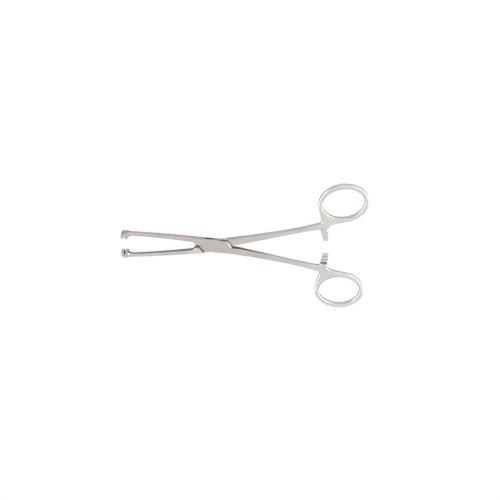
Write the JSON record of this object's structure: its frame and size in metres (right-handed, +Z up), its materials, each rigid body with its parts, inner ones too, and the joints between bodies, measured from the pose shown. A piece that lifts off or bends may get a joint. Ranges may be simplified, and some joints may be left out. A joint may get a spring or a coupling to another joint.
{
  "type": "tissue forceps",
  "caption": "Ratchet tissue forceps with a box lock, slim jaws ending in inturned toothed cross bars, and oval finger rings.",
  "frame": {"origin": "on the pivot axis, at the flat underside of the box lock", "axes": "+X along the instrument from the jaws towards the finger rings, +Y across it towards the ring of the inner half, +Z up along the pivot axis; jaws open as in the picture at rest"},
  "size_m": [0.1874, 0.1054, 0.0066],
  "materials": {
    "steel_slotted_half": "satin",
    "steel_inner_half": "satin",
    "steel_pin": "satin"
  },
  "bodies": {
    "slotted_half": {"female_half": "steel_slotted_half", "lock_pin": "steel_pin"},
    "inner_half": {"male_half": "steel_inner_half"}
  },
  "joints": [
    {"name": "box_lock_pivot", "type": "hinge", "parent": "slotted_half", "child": "inner_half", "pos_m": [0, 0, 0.0024], "axis": [0, 0, 1], "range_deg": [-9.8, 26.2]}
  ]
}
